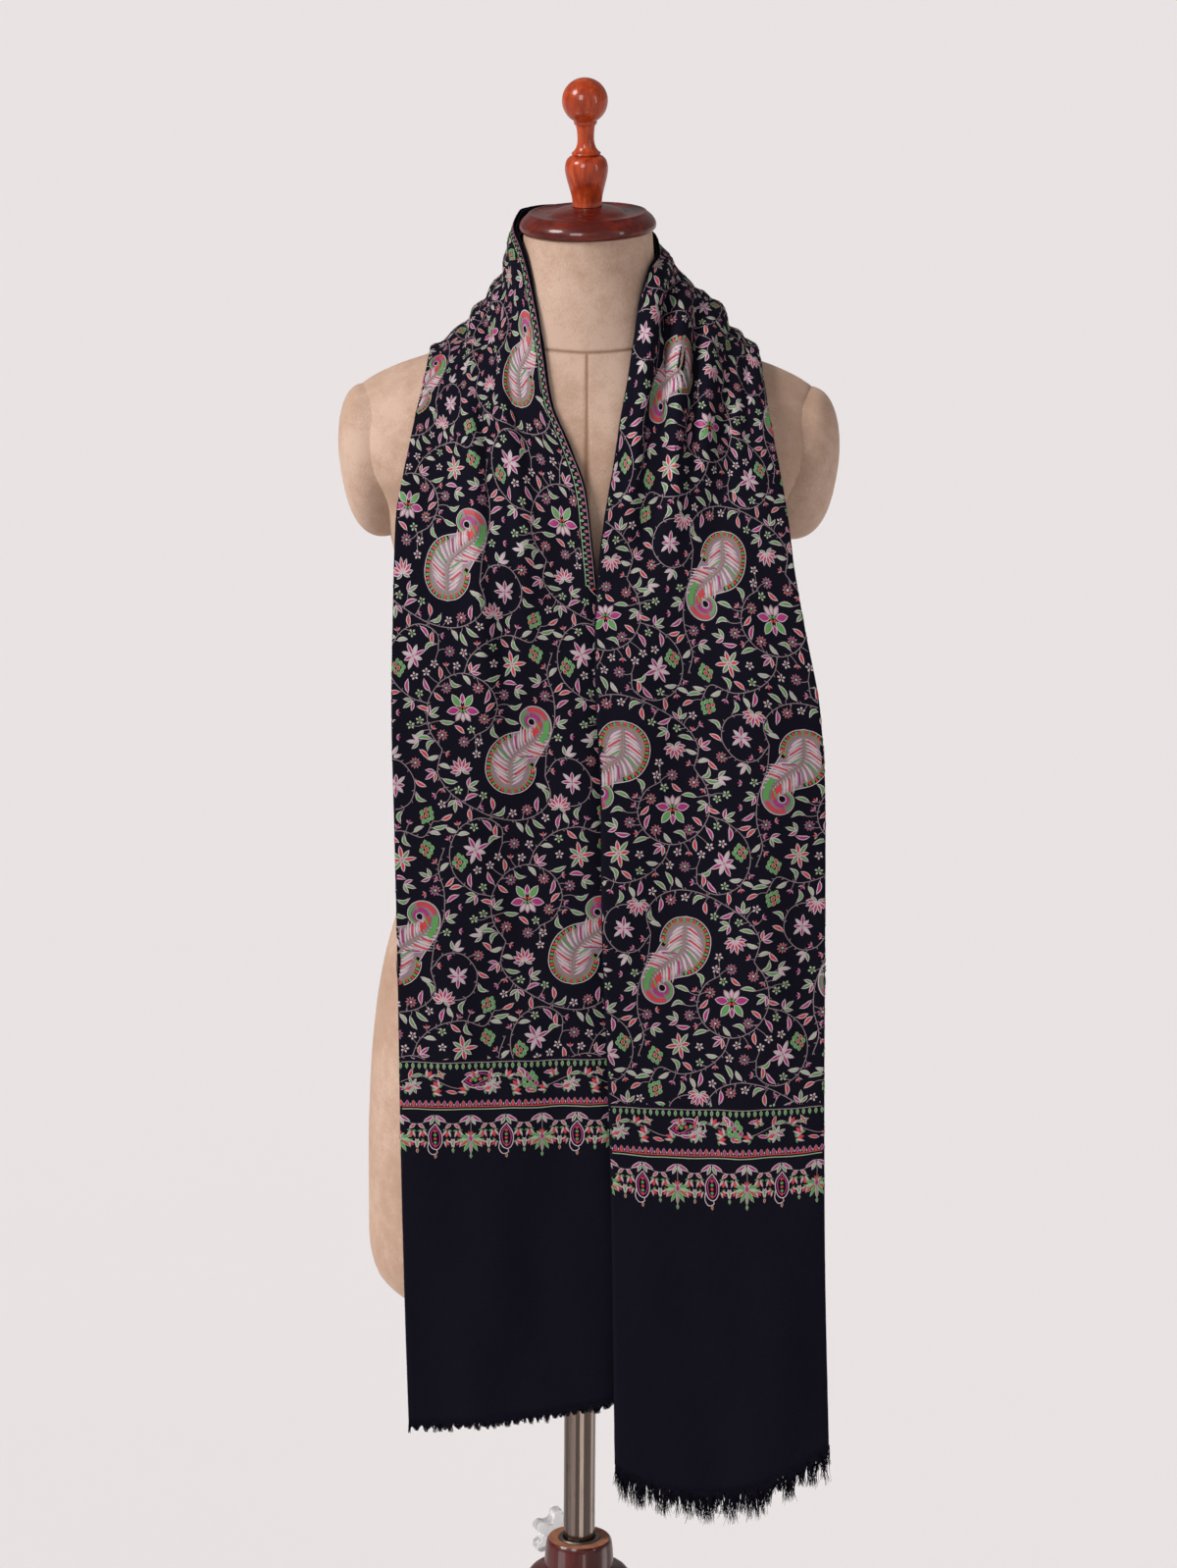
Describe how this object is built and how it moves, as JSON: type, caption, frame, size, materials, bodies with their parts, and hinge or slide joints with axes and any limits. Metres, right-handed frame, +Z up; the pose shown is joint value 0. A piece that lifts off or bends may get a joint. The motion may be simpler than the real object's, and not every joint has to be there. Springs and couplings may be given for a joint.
{
  "type": "pashmina shawl on a dress form",
  "caption": "Long embroidered shawl, folded lengthwise with fringed ends, hung round the neck of a limbless dress form on a turned wooden stand.",
  "frame": {"origin": "centre of the stand base's underside, on the pole's axis", "axes": "+Z up along the pole, -Y towards the viewer, out of the form's front, +X to the viewer's right"},
  "size_m": [0.3998, 0.3998, 1.5997],
  "materials": {
    "cloth": "very dark navy fine wool twill with lilac, green, red and magenta silk embroidery",
    "fringe": "loose navy warp ends",
    "form_cover": "tan suede cloth stretched over the form",
    "cap_wood": "glossy dark red-brown varnish",
    "finial_wood": "glossy orange-brown varnish",
    "stand_wood": "glossy mahogany stain",
    "steel": "worn satin nickel",
    "acrylic": "clear moulded acrylic"
  },
  "bodies": {
    "stand": {"stand_base": "stand_wood", "stand_column": "stand_wood", "socket_bushing": "steel"},
    "mast": {"pole": "steel"},
    "form": {"form_torso": "form_cover", "arm_cap_left": "form_cover", "arm_cap_right": "form_cover", "neck_cap": "cap_wood", "finial": "finial_wood", "shawl_left_panel": "cloth", "shawl_neck_stretch": "cloth", "shawl_right_panel": "cloth", "fringe_left": "fringe", "fringe_right": "fringe"},
    "knob": {"clamp_knob": "acrylic", "clamp_screw": "steel"}
  },
  "joints": [
    {"name": "height_slide", "type": "slide", "parent": "stand", "child": "mast", "axis": [0, 0, 1], "range_m": [-0.15, 0.15]},
    {"name": "form_swivel", "type": "hinge", "parent": "mast", "child": "form", "pos_m": [0, 0, 0.655], "axis": [0, 0, 1], "continuous": true},
    {"name": "knob_turn", "type": "hinge", "parent": "stand", "child": "knob", "pos_m": [0, 0, 0.432], "axis": [-0.3746, 0.9272, 0], "continuous": true}
  ]
}
